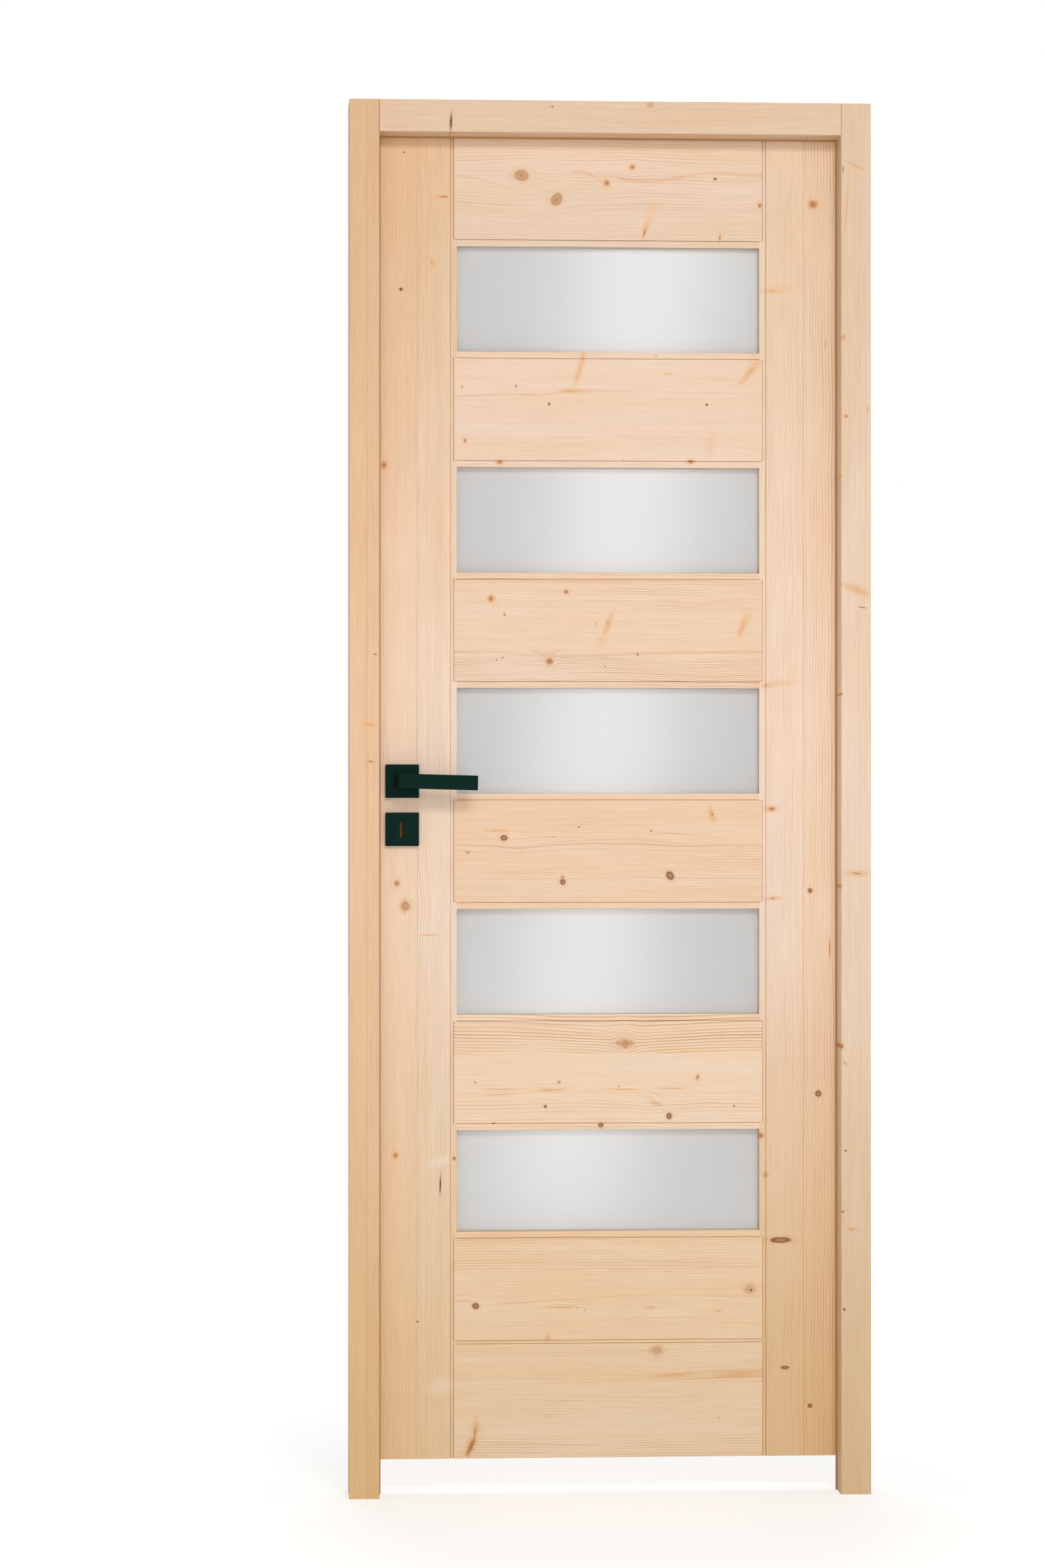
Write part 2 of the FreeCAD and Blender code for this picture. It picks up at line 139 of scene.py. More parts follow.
bpy.ops.mesh.primitive_circle_add(vertices=96, radius=FLOOR_RADIUS, fill_type="NGON",
                                  location=(DOOR_MIDDLE_X, 0, 0))
floor = bpy.context.object
floor.name = "studio_floor"
material, tree = new_material("white studio floor")
away = node(tree, "VectorMath", [node(tree, "TexCoord").outputs["Object"]], operation="LENGTH")
# The glow is full from 3.6 m on and weaker by the door, so that its shadow shows there
glow = node(tree, "MapRange", [away, 0.5, 3.6, 0.58, 1.0])
# It glows less in the light that falls on the door than in the camera's own view
dimmed = node(tree, "MapRange", [node(tree, "LightPath").outputs["Is Camera Ray"], 0, 1, 0.4, 1.0])
glow = node(tree, "Math", [glow, dimmed], operation="MULTIPLY")
finish_material(tree, node(tree, "BsdfPrincipled", {
    "Base Color": colour("C8C7C5"), "Roughness": 0.6, "Emission Color": (1, 1, 1, 1),
    "Emission Strength": glow}))
floor.data.materials.append(material)

world = bpy.data.worlds.new("studio")
bpy.context.scene.world = world
world.use_nodes = True
tree = world.node_tree
tree.nodes.clear()
# Pure white to the camera, and a third of that as light on the door
seen = node(tree, "LightPath").outputs["Is Camera Ray"]
glow = node(tree, "MapRange", [seen, 0, 1, 0.34, 1.0])
node(tree, "OutputWorld", [node(tree, "Background", [(1, 1, 1, 1), glow])])


# Marks in the wood: how each kind's colour and cover change from its middle to three of its
# own radii. A knot is the end of a branch, with its bark as a dark rim where the branch had
# died; a flame and a plume are the orange shadow of one that runs along under the face.
MARKS = {
    "pale": [(0.0, "FFF0DC", 0.42), (0.2, "FCEAD2", 0.3), (0.5, "FAE6CC", 0.0)],
    "plume": [(0.0, "E8AC6C", 0.36), (0.3, "E8B47A", 0.20), (0.5, "ECBA8C", 0.0)],
    "flame": [(0.0, "E0943A", 0.58), (0.2, "E4A04E", 0.42), (0.33, "EAB06A", 0.16), (0.5, "EEBA80", 0.0)],
    "soft": [(0.0, "BA7C46", 0.68), (0.1, "CC945C", 0.58), (0.18, "B87C46", 0.62), (0.26, "D09A62", 0.54),
             (0.33, "C68C54", 0.50), (0.5, "E2AE7E", 0.24), (0.8, "ECC096", 0.0)],
    "knot": [(0.0, "6A3C18", 0.95), (0.035, "A06A38", 0.92), (0.10, "C68E56", 0.90), (0.15, "BC844C", 0.90),
             (0.20, "CA925A", 0.90), (0.25, "BE864E", 0.88), (0.30, "B0763E", 0.85),
             (0.335, "C08852", 0.62), (0.40, "E0AC7C", 0.30), (0.8, "ECC096", 0.0)],
    "small": [(0.0, "8A4614", 0.95), (0.10, "B86C2A", 0.90), (0.22, "CA823C", 0.82), (0.32, "DA9850", 0.55),
              (0.5, "EAAE72", 0.26), (0.9, "EEBE90", 0.0)],
    "red": [(0.0, "9A4C1A", 0.95), (0.12, "B6642A", 0.92), (0.26, "C27438", 0.85), (0.34, "D0884A", 0.60),
            (0.5, "EAAC72", 0.28), (0.9, "EEBA8A", 0.0)],
    "rimmed": [(0.0, "B0703C", 0.92), (0.14, "B07440", 0.92), (0.22, "84501E", 0.95), (0.28, "6E4016", 0.95),
               (0.34, "A0622C", 0.70), (0.42, "E2A468", 0.40), (0.8, "F0BE90", 0.0)],
    "slitted": [(0.0, "BE7C42", 0.70), (0.20, "D49A62", 0.55), (0.27, "A06630", 0.75), (0.33, "C8905A", 0.45),
                (0.45, "E6B282", 0.22), (0.8, "ECC096", 0.0)],
    "dot": [(0.0, "3A1E08", 1.0), (0.20, "5A3414", 0.95), (0.33, "A87038", 0.6), (0.5, "E4A870", 0.28),
            (1.0, "ECBC90", 0.0)],
    "core": [(0.0, "945018", 0.85), (0.20, "AE6C2A", 0.65), (0.34, "D09048", 0.0)],
}
MARK_REACH = 3           # own radii that a kind's colours span
PARTING = ("knot", "small", "red", "rimmed", "soft")    # kinds that the fibres part around
EDGE_ROUGHNESS = {"pale": 1.2, "plume": 1.2, "flame": 0.9, "soft": 0.5}
CRISP_EDGE = 0.35        # roughness of all other kinds' edges
THROUGH = 1e5            # reach in depth, in mm: a mark runs right through the piece

LINE_SPAN = 50           # mm up and down that a growth line's course may take
LINE_HALF_WIDTH = 10     # mm at most

# Tones that multiply the wood's own: late wood, the streaks of the fibres, resinous parts
LATE_WOOD = colour("D9B991")
FIBRE = colour("E8E0D6")
RESINOUS = colour("FFF8EC")
# Tones that are laid over it: a glued seam and an orange growth line
SEAM = colour("B98F62")
GROWTH_LINE = colour("DA9A5A")
# Where the tones of the upright pieces start and end, in millimetres: a lying one has one tone.
# Along an upright the tones are partly the wood's own and partly painted light, brighter at mid-height.
TINT_AND_LIGHT_RUN = (0, 2080)


# Pine, planed and clear lacquered: a warm satin face. Growth rings lie round a pith line that
# runs roughly along each piece, late wood is the darker side of a ring, and the fibres part
# round every knot. The boards are glued from strips some 50 mm wide, each with its own rings.
def pine(name, along, tints_and_light, ring=3.6, contrast=0.3, pith=(0, 0), marks=(), lines=(), strips=(),
         dips=(), seam=None, resin=0.0, seed=0.0):
    """One board's own pine. Places are millimetres across (x) and up (z) on the part.

    tints_and_light are colours at even steps along the piece: partly the wood's own tone and
    partly painted light, which along an upright is brighter at mid-height and darker towards the
    top and foot. ring is a growth year's width and contrast how strong its late wood is. pith is
    the pith line's place across the piece and in depth. A mark is (kind, x, z, half length, half
    width, turn in degrees). A line is an orange growth line through points (x, z, half width,
    strength). A strip starts at a place across, and from there on shifts the rings and makes them
    stronger, darker and yellower. A dip is (x, z, reach across, reach up, how far the lines sag
    there). seam is a glued joint's place across, and resin how resinous, and so how yellow, the wood is.
    """
    material, tree = new_material(name)
    upright = along == "z"
    place = node(tree, "TexCoord").outputs["Object"]
    millimetres = node(tree, "Mapping", {"Vector": place, "Scale": (1000, 1000, 1000)})
    x, y, z = node(tree, "SeparateXYZ", [millimetres]).outputs
    lengthways, across = (z, x) if upright else (x, z)
    grain = face = node(tree, "CombineXYZ", [x, z, y])

    def stretched(long_way, wide_way, deep_way):
        """Values along, across and into the piece, in the order of the face's own axes."""
        return (wide_way, long_way, deep_way) if upright else (long_way, wide_way, deep_way)

    # The whole pattern sways slowly by up to 7 mm, as a tree does
    sway_place = node(tree, "Mapping", {"Vector": face, "Location": (seed * 31, seed * 17, seed),
                                        "Scale": stretched(1 / 260, 1 / 110, 1 / 110)})
    sway = node(tree, "TexNoise", {"Vector": sway_place, "Scale": 1.0, "Detail": 1.5})
    sway = node(tree, "MapRange", [sway, 0, 1, -7, 7])
    sway = node(tree, "VectorMath", {"Vector": stretched(0, 1, 0), "Scale": sway},
                operation="SCALE")
    grain = node(tree, "VectorMath", [grain, sway], operation="ADD")
    for mark_x, mark_z, reach_x, reach_z, sag in dips:
        off = node(tree, "Mapping", {"Vector": face, "Location": (mark_x, mark_z, 0),
                                     "Scale": (reach_x, reach_z, THROUGH)}, vector_type="TEXTURE")
        off = node(tree, "VectorMath", [off], operation="LENGTH")
        sag = node(tree, "MapRange", [off, 0, 1.6, sag, 0], interpolation_type="SMOOTHSTEP")
        sag = node(tree, "VectorMath", {"Vector": stretched(0, 1, 0), "Scale": sag},
                   operation="SCALE")
        grain = node(tree, "VectorMath", [grain, sag], operation="ADD")

    # Fine unevenness that roughens the marks' edges and the rings
    ripple_place = node(tree, "Mapping", {"Vector": face, "Location": (seed, 0, 0),
                                          "Scale": stretched(1 / 9, 1 / 3.4, 1 / 9)})
    ripple = node(tree, "TexNoise", {"Vector": ripple_place, "Scale": 1.0, "Detail": 2.0})

    covers = []
    for kind, shades in MARKS.items():
        near = None
        for mark_kind, mark_x, mark_z, half_length, half_width, turn in marks:
            if mark_kind != kind:
                continue
            off = node(tree, "Mapping", {"Vector": face, "Location": (mark_x, mark_z, 0),
                                         "Rotation": (0, 0, radians(turn)),
                                         "Scale": (half_length, half_width, THROUGH)},
                       vector_type="TEXTURE")
            far = node(tree, "VectorMath", [off], operation="LENGTH")
            near = far if near is None else node(tree, "Math", [near, far], operation="MINIMUM")
            if kind in PARTING:
                # The fibres part round a knot, and close up again a few radii away
                off = node(tree, "Mapping", {"Vector": face, "Location": (mark_x, mark_z, 0),
                                             "Scale": (1.3 * half_length, half_width, THROUGH)},
                           vector_type="TEXTURE")
                reach = node(tree, "VectorMath", [off], operation="LENGTH")
                reach = node(tree, "Math", [reach, 1.3], operation="MAXIMUM")
                reach = node(tree, "Math", [reach, -1.9], operation="POWER")
                push = node(tree, "VectorMath", {"Vector": off, "Scale": reach}, operation="SCALE")
                amount = [-1.8 * v for v in stretched(0, half_width, 0)]
                grain = node(tree, "VectorMath", [push, amount, grain], operation="MULTIPLY_ADD")
        if near is not None:
            rough = EDGE_ROUGHNESS.get(kind, CRISP_EDGE)
            near = node(tree, "Math", [ripple, rough, near], operation="MULTIPLY_ADD")
            near = node(tree, "MapRange", [near, rough / 2, MARK_REACH + rough / 2, 0, 1])
            covers.append(stops(node(tree, "ValToRGB", [near]), [
                (at, colour(tone)[:3] + [cover]) for at, tone, cover in shades]))

    # Strips: each step across adds its shift, ring strength and tone
    manner = node(tree, "CombineXYZ", [contrast, 0.0, resin])
    for edge, shift, stronger, darker, yellower in strips:
        side = node(tree, "Math", [across, edge], operation="GREATER_THAN")
        jump = node(tree, "VectorMath", {"Vector": stretched(*shift), "Scale": side},
                    operation="SCALE")
        grain = node(tree, "VectorMath", [grain, jump], operation="ADD")
        step = node(tree, "VectorMath", {"Vector": (stronger, darker, yellower), "Scale": side},
                    operation="SCALE")
        manner = node(tree, "VectorMath", [manner, step], operation="ADD")
    strength, darker, yellower = node(tree, "SeparateXYZ", [manner]).outputs

    # Rings: distance from the pith line in growth years, with some years bolder than others
    centre = stretched(0, pith[0], pith[1])
    from_pith = node(tree, "VectorMath", [grain, centre], operation="SUBTRACT")
    from_pith = node(tree, "VectorMath", [from_pith, stretched(0.0, 1, 1)], operation="MULTIPLY")
    count = node(tree, "VectorMath", [from_pith], operation="LENGTH")
    count = node(tree, "Math", [ripple, 0.9, count], operation="MULTIPLY_ADD")
    count = node(tree, "Math", [count, 1 / ring], operation="MULTIPLY")
    late = stops(node(tree, "ValToRGB", [node(tree, "Math", [count], operation="FRACT")]), [
        (at, (dark, dark, dark, 1)) for at, dark in ((0.0, 0), (0.42, 0.12), (0.80, 1), (1.0, 0))],
        "EASE")
    year = node(tree, "Math", [count], operation="FLOOR")
    year = node(tree, "Math", [year, 0.37], operation="MULTIPLY")
    bolder = node(tree, "TexNoise", {"W": year, "Scale": 1.0, "Detail": 2.0}, noise_dimensions="1D")
    bolder = node(tree, "MapRange", [bolder, 0.3, 0.7, 0.3, 1.35])
    fading_place = node(tree, "Mapping", {"Vector": grain, "Location": (seed, 0, seed),
                                          "Scale": stretched(1 / 150, 1 / 40, 1 / 60)})
    fading = node(tree, "TexNoise", {"Vector": fading_place, "Scale": 1.0, "Detail": 1.0})
    fading = node(tree, "MapRange", [fading, 0.3, 0.7, 0.45, 1.3])
    late = node(tree, "Math", [late, bolder], operation="MULTIPLY")
    late = node(tree, "Math", [late, fading], operation="MULTIPLY")
    late = node(tree, "Math", [late, strength], operation="MULTIPLY", use_clamp=True)

    # Fibres: long thin streaks, drawn 1.2 mm wide, coarser than real ones, so that they show
    fibre_place = node(tree, "Mapping", {"Vector": grain,
                                         "Scale": stretched(1 / 60, 1 / 1.2, 1 / 1.2)})
    fibre = node(tree, "TexNoise", {"Vector": fibre_place, "Scale": 1.0, "Detail": 3.0,
                                    "Roughness": 0.6})
    # Broad patches, drawn out along the piece, where the wood is more resinous
    broad_place = node(tree, "Mapping", {"Vector": grain, "Location": (seed, seed, 0),
                                         "Scale": stretched(1 / 330, 1 / 30, 1 / 30)})
    broad = node(tree, "TexNoise", {"Vector": broad_place, "Scale": 1.0, "Detail": 2.0})
    broad = node(tree, "MapRange", [broad, 0.3, 0.7, 0, 1])
    broad = node(tree, "Math", [broad, yellower], operation="ADD", use_clamp=True)

    # These tones carry painted light as well as the wood's own tone. Along an upright they run brighter at
    # mid-height and darker towards the top and foot.
    tint = colour(tints_and_light[0])
    if len(tints_and_light) > 1:
        run = node(tree, "MapRange", [lengthways, *TINT_AND_LIGHT_RUN, 0, 1])
        tint = stops(node(tree, "ValToRGB", [run]), [
            (i / (len(tints_and_light) - 1), colour(code)) for i, code in enumerate(tints_and_light)], "EASE")
    tint = node(tree, "Mix", [late, tint, LATE_WOOD], data_type="RGBA", blend_type="MULTIPLY")
    fleck = node(tree, "MapRange", [fibre, 0.35, 0.75, 0, 0.5])
    tint = node(tree, "Mix", [fleck, tint, FIBRE], data_type="RGBA", blend_type="MULTIPLY")
    tint = node(tree, "Mix", [broad, tint, RESINOUS], data_type="RGBA", blend_type="MULTIPLY")
    tint = node(tree, "Mix", [darker, tint, LATE_WOOD], data_type="RGBA", blend_type="MULTIPLY")

    if seam is not None:
        off = node(tree, "Math", [across, seam], operation="SUBTRACT")
        off = node(tree, "Math", [off], operation="ABSOLUTE")
        thin = node(tree, "MapRange", [off, 0.2, 0.9, 0.4, 0.0])
        tint = node(tree, "Mix", [thin, tint, SEAM], data_type="RGBA")
    for path in lines:
        # A ramp along the piece holds the line's course, half width and strength
        start, end = path[0][0], path[-1][0]
        low = min(point[1] for point in path) - 5
        run = node(tree, "MapRange", [lengthways, start, end, 0, 1])
        track = stops(node(tree, "ValToRGB", [run]), [
            ((at - start) / (end - start),
             ((up - low) / LINE_SPAN, half_width / LINE_HALF_WIDTH, strong, 1))
            for at, up, half_width, strong in path], "CARDINAL")
        up, half_width, strong = node(tree, "SeparateColor", [track.outputs["Color"]]).outputs
        up = node(tree, "Math", [up, LINE_SPAN, low], operation="MULTIPLY_ADD")
        # The ripple, which is 0.5 on the mean, moves the line by up to 0.8 mm
        up = node(tree, "Math", [ripple, 1.6, up], operation="MULTIPLY_ADD")
        off = node(tree, "Math", [across, up], operation="SUBTRACT")
        off = node(tree, "Math", [off, 0.8], operation="ADD")
        off = node(tree, "Math", [off], operation="ABSOLUTE")
        off = node(tree, "Math", [off, 1 / LINE_HALF_WIDTH], operation="MULTIPLY")
        off = node(tree, "Math", [off, half_width], operation="DIVIDE")
        thin = node(tree, "MapRange", [off, 0.1, 1.7, 0.9, 0.0], interpolation_type="SMOOTHSTEP")
        thin = node(tree, "Math", [thin, strong], operation="MULTIPLY")
        tint = node(tree, "Mix", [thin, tint, GROWTH_LINE], data_type="RGBA")
    for shade in covers:
        tint = node(tree, "Mix", [shade.outputs["Alpha"], tint, shade.outputs["Color"]],
                    data_type="RGBA")

    bump = node(tree, "Bump", {"Strength": 0.08, "Distance": 0.0001, "Height": fibre})
    gloss = node(tree, "MapRange", [fibre, 0.3, 0.7, 0.42, 0.50])
    finish_material(tree, node(tree, "BsdfPrincipled", {
        "Base Color": tint, "Roughness": gloss, "IOR": 1.5, "Normal": bump}))
    return material


# Each piece's tones are partly the wood's own and partly painted light. The uprights' middle tones are the
# brightest, and the boards' single tones were fitted in the same way.
WOODS = {
    "lock_jamb": pine(
        "pine, lock jamb", "z", ["EBC795", "F3CEAA", "E2BB90"], ring=3.0, contrast=0.26, pith=(-930, -30),
        seam=-754, resin=0.3,
        strips=[(-754, (311, -37, 16), 0.1, 0.03, -0.2)],
        marks=[("core", -741.5, 1254.3, 4, 1.6, 0), ("plume", -751, 1150.2, 14, 6, -10),
               ("flame", -751, 1150.2, 12, 3, -10), ("core", -749, 1095.1, 4, 1.3, -10),
               ("flame", -749, 1095.1, 9, 3, -10)],
        seed=3),
    "hinge_jamb": pine(
        "pine, hinge jamb", "z", ["E6C9A1", "F5DCC7", "E3C8AD"], ring=3.2, contrast=0.29, pith=(150, -60),
        marks=[("core", -41.7, 1981, 8, 1.3, 84), ("flame", -23.3, 1986.6, 20, 3.2, -25),
               ("flame", -35.9, 1931.5, 60, 2.4, 86), ("soft", -41, 1730.1, 3, 3.9, 0),
               ("flame", -5, 1621.9, 3, 6, 0), ("small", -37, 1611.9, 3, 2.5, 0),
               ("flame", -45.1, 1521.7, 4, 2, 30), ("flame", -22, 1352.4, 28, 8, -22),
               ("flame", -17.1, 1349.4, 20, 5, -22), ("core", -13.1, 1325.9, 8, 1.6, -8),
               ("small", -44.1, 1196.2, 1.5, 1.8, 0), ("flame", -20.7, 927.9, 22, 6, -4),
               ("flame", -20.2, 927.9, 14, 4, -4), ("core", -21.2, 927.9, 6, 1.2, -4),
               ("small", -46.2, 908.9, 2, 3, 0), ("small", -44.3, 669.7, 3.2, 3.8, 0),
               ("flame", -39.3, 644.7, 6, 2.4, -60), ("core", -39.3, 643.7, 3, 0.9, -60),
               ("dot", -38.3, 513.6, 1.5, 1.5, 0), ("dot", -42.4, 422.5, 1.4, 1.4, 0),
               ("flame", -27.3, 396.5, 11, 3, -4), ("core", -30.3, 395.5, 2.4, 1, 0),
               ("dot", -40.4, 276.5, 1.8, 1.8, 0)],
        seed=11),
    "head_jamb": pine(
        "pine, head jamb", "x", ["E5C8AC"], ring=3.0, contrast=0.26, pith=(2230, -40),
        marks=[("soft", -331.4, 2074.8, 5, 4, 0), ("small", -477.6, 2070.8, 2, 2, 0),
               ("dot", -628.9, 2046.8, 13, 1.9, 88)],
        seed=7),
    "lock_stile": pine(
        "pine, lock stile", "z", ["F1D4AA", "FAE4D2", "E6C39B"], ring=3.4, contrast=0.29, pith=(-900, 60),
        seam=-677, resin=0.7,
        strips=[(-677, (411, -61, 22), 0.12, 0, -0.7)],
        marks=[("dot", -702, 1803.2, 2.6, 2.6, 0), ("core", -636.9, 1942.5, 7, 1.6, 4),
               ("small", -727, 1539.8, 4.6, 5, 0), ("small", -707.9, 912.9, 4.2, 4.6, 0),
               ("small", -709.9, 505.6, 3, 3.6, 0), ("small", -621.8, 500.6, 3, 3.3, 0),
               ("soft", -694.9, 878.9, 6.5, 7, 0), ("slitted", -694.9, 878.9, 5.2, 5.8, 0),
               ("dot", -697, 2008.7, 1.3, 1.5, 0), ("pale", -642.8, 496.6, 22, 7, 10),
               ("pale", -640.8, 159.4, 20, 12, 10), ("flame", -640.9, 1942.5, 15, 4.2, 4),
               ("core", -639.9, 1942.5, 4, 1, 4), ("flame", -655, 1843.3, 11, 4, -80),
               ("flame", -655.5, 1846.3, 6, 2.4, -84), ("flame", -745.7, 1926.5, 48, 3.2, 90),
               ("flame", -657.9, 835.8, 18, 1.8, 2), ("dot", -642.8, 461.5, 13, 1.2, 88),
               ("dot", -676.9, 256.5, 1.6, 1.2, 0)],
        seed=5),
    "hinge_stile": pine(
        "pine, hinge stile", "z", ["EBC898", "FAE2CF", "EAD0B4"], ring=3.6, contrast=0.36, pith=(60, 50),
        seam=-96, resin=0.0,
        strips=[(-96, (-311, 43, -22), 0.12, 0.02, 0.35)],
        marks=[("red", -80.6, 1935.5, 6, 6, 0), ("plume", -135.2, 1806.2, 24, 7, 3),
               ("flame", -142.2, 1804.2, 12, 3, 0), ("core", -62.1, 1723.1, 10, 0.8, 84),
               ("plume", -132.3, 1213.2, 26, 6, 3), ("flame", -151.3, 1210.2, 9, 4, 0),
               ("small", -143.3, 1024.5, 5, 2.6, 0), ("flame", -143.3, 1024.5, 12, 5, 0),
               ("rimmed", -85.3, 901.3, 3.2, 3.2, 0), ("flame", -140.4, 889.9, 14, 4, 5),
               ("core", -142.4, 889.9, 3, 1.5, 0), ("core", -55.8, 813.8, 18, 0.9, 90),
               ("flame", -55.8, 813.8, 20, 2.2, 90), ("rimmed", -72.9, 595.6, 4.4, 4.4, 0),
               ("small", -159.4, 532.6, 4, 4.4, 0), ("soft", -152.5, 473.6, 3.4, 4, 0),
               ("rimmed", -130.3, 375.5, 15, 4.2, 0), ("rimmed", -123.5, 183.5, 6, 2.6, 0),
               ("rimmed", -85.5, 126, 3.3, 3.3, 0)],
        seed=9),
    "top_board": pine(
        "pine, top board", "x", ["EAD0B8"], ring=4.6, contrast=0.24, pith=(2190, 60),
        strips=[(1923.9, (191, 42, -26), 0.04, -0.03, 0)],
        marks=[("knot", -520.9, 1975.5, 10, 7.9, 0), ("core", -520.4, 1976.5, 3.4, 0.9, 80),
               ("core", -522.4, 1974.5, 3, 0.8, 10), ("knot", -468.2, 1939.9, 9.6, 7.8, 55),
               ("core", -467.7, 1940.9, 5, 0.9, 52), ("core", -470.2, 1936.9, 3, 0.8, 20),
               ("small", -392.4, 1965.1, 5, 4.8, 0), ("small", -353.7, 1989, 4.4, 4, 0),
               ("dot", -228.9, 1972.5, 2.2, 2, 0), ("small", -161.3, 1932.9, 3, 4.6, 0),
               ("core", -335.6, 1890.9, 8, 2, 72), ("flame", -334.6, 1894.9, 17, 5, 72),
               ("plume", -325.6, 1922.1, 24, 8, 75), ("core", -221.8, 1883.8, 5, 1.6, 85),
               ("flame", -221.8, 1885.8, 9, 3.6, 85), ("plume", -555.5, 2027.3, 10, 5, -60)],
        lines=[[(-619.5, 1973.7, 1.72, 0.36), (-583.5, 1969, 1.38, 0.32), (-543.4, 1957.3, 0.92, 0.18),
                (-503.3, 1948.6, 0.69, 0)],
               [(-450.2, 1980.1, 0.57, 0), (-440.1, 1980.7, 2.3, 0.43), (-423.1, 1979.9, 2.3, 0.43),
                (-410, 1973.5, 1.84, 0.36), (-399, 1965.6, 1.15, 0.29), (-393.9, 1960.6, 0.57, 0)],
               [(-382.9, 1978.7, 1.15, 0), (-374.8, 1973.8, 1.84, 0.36), (-362.8, 1969.9, 2.53, 0.43),
                (-332.6, 1968.6, 2.53, 0.47), (-299.4, 1970.9, 2.53, 0.43), (-272.2, 1976.7, 2.3, 0.4),
                (-245, 1980.9, 2.3, 0.32), (-221.8, 1981.1, 2.53, 0.36), (-196.6, 1979.3, 2.76, 0.4),
                (-155.3, 1978.7, 2.76, 0.43)],
               [(-463.2, 1923.9, 0.57, 0), (-403, 1923.9, 0.69, 0.25), (-302.4, 1925.3, 0.69, 0.29),
                (-155.3, 1925.5, 0.69, 0.29)]],
        seed=2),
    "middle_board_4": pine(
        "pine, middle board 4", "x", ["F2D7C1"], ring=3.0, contrast=0.19, pith=(1880, -50),
        strips=[(1602.8, (211, 37, 26), -0.08, 0.02, 0.1), (1655.9, (-311, -31, 12), 0.06, -0.02, 0.1)],
        marks=[("flame", -432.6, 1686.7, 31, 5.5, 73), ("flame", -430.1, 1698.8, 18, 4.5, 73),
               ("flame", -445.2, 1652.6, 24, 4, 0), ("flame", -177.5, 1680.2, 26, 6, 48),
               ("plume", -170.4, 1695.3, 24, 9, 75), ("dot", -479.3, 1632.4, 1.9, 1.9, 0),
               ("dot", -241.5, 1632.7, 1.8, 1.8, 0), ("small", -606, 1576.7, 2.2, 3.6, 0),
               ("small", -529.4, 1659.1, 1.5, 2.6, 0), ("small", -610, 1657.7, 1.2, 1.8, 0),
               ("core", -317.5, 1706, 5, 0.7, 0), ("flame", -299.4, 1678.5, 9, 1.6, 0),
               ("plume", -236, 1574.5, 20, 7, 85), ("small", -553.5, 1544.9, 4.5, 3, 0),
               ("small", -265.7, 1546.8, 4.5, 3, 0), ("core", -366.8, 1548.8, 2.4, 0.8, 0)],
        lines=[[(-619.5, 1643.1, 1.38, 0.32), (-551.5, 1646.5, 1.72, 0.36), (-485.3, 1646.4, 1.72, 0.36),
                (-458.2, 1650.5, 2.3, 0.36), (-423.1, 1652.7, 2.3, 0.25), (-342.7, 1652.2, 1.84, 0.12),
                (-242, 1650.8, 1.61, 0.1), (-155.3, 1650.2, 1.84, 0.18)],
               [(-619.5, 1637.6, 0.8, 0.18), (-543.4, 1639, 0.8, 0.18), (-473.3, 1640.4, 0.8, 0.11),
                (-302.4, 1639.4, 0.8, 0.09), (-155.3, 1643.2, 0.8, 0.18)],
               [(-619.5, 1602.6, 0.69, 0.18), (-403, 1602.8, 0.69, 0.14), (-155.3, 1605, 0.69, 0.14)]],
        seed=13),
    "middle_board_3": pine(
        "pine, middle board 3", "x", ["F5D9C0"], ring=3.3, contrast=0.7, pith=(1060, -40),
        strips=[(1260.2, (211, 37, 26), -0.46, -0.02, 0.1), (1320.2, (-311, -31, 12), 0.22, 0.02, 0.1)],
        dips=[(-257, 1331, 26, 22, 4), (-242, 1226, 34, 16, 3), (-483, 1238, 30, 20, -2)],
        marks=[("small", -567, 1339.8, 3.6, 4.6, 0), ("flame", -566.5, 1339.8, 9, 6, 0),
               ("red", -453.7, 1350.2, 2.8, 2.8, 0), ("small", -546.4, 1315.9, 1.5, 2.8, 0),
               ("flame", -390.7, 1301.5, 24, 6, 69), ("flame", -390, 1300.2, 14, 4, 69),
               ("core", -390.7, 1304.3, 3, 0.8, 75), ("plume", -401, 1274.2, 11, 7, 75),
               ("core", -408, 1303.2, 3.5, 0.9, 88), ("flame", -188.4, 1297, 20, 6.5, 72),
               ("flame", -188.7, 1296.7, 12, 4, 72), ("core", -187.7, 1295.7, 1.3, 1, 0),
               ("plume", -180.6, 1314.8, 10, 8, 60), ("red", -478.6, 1246, 5, 4.8, 0),
               ("dot", -558.5, 1247.8, 1, 1, 0), ("dot", -549.4, 1251.2, 1, 1, 0),
               ("dot", -346, 1256.6, 1.3, 1.3, 0), ("small", -395, 1238.1, 1.4, 1.2, 0)],
        lines=[[(-619.5, 1367.7, 1.38, 0.4), (-558.5, 1369.4, 1.61, 0.43), (-473.3, 1367.1, 1.49, 0.43),
                (-393, 1365.9, 1.38, 0.36), (-302.5, 1366.6, 1.38, 0.32), (-155.4, 1364.6, 1.49, 0.36)],
               [(-619.5, 1363.7, 1.15, 0.25), (-543.4, 1365.4, 1.15, 0.29), (-453.2, 1363.7, 1.03, 0.29),
                (-155.4, 1361.6, 1.15, 0.25)],
               [(-619.5, 1260.7, 1.84, 0.36), (-601.5, 1259.7, 1.61, 0.29), (-578.5, 1260.8, 1.15, 0.22),
                (-543.4, 1257.9, 1.38, 0.29), (-503.3, 1254.9, 1.38, 0.32), (-461.2, 1254, 1.72, 0.36),
                (-395, 1256.2, 2.07, 0.36), (-294.4, 1258.9, 2.07, 0.36), (-155.4, 1260.7, 2.07, 0.36)],
               [(-510.4, 1264.9, 1.15, 0), (-503.3, 1261.9, 1.72, 0.32), (-485.3, 1257, 2.3, 0.36),
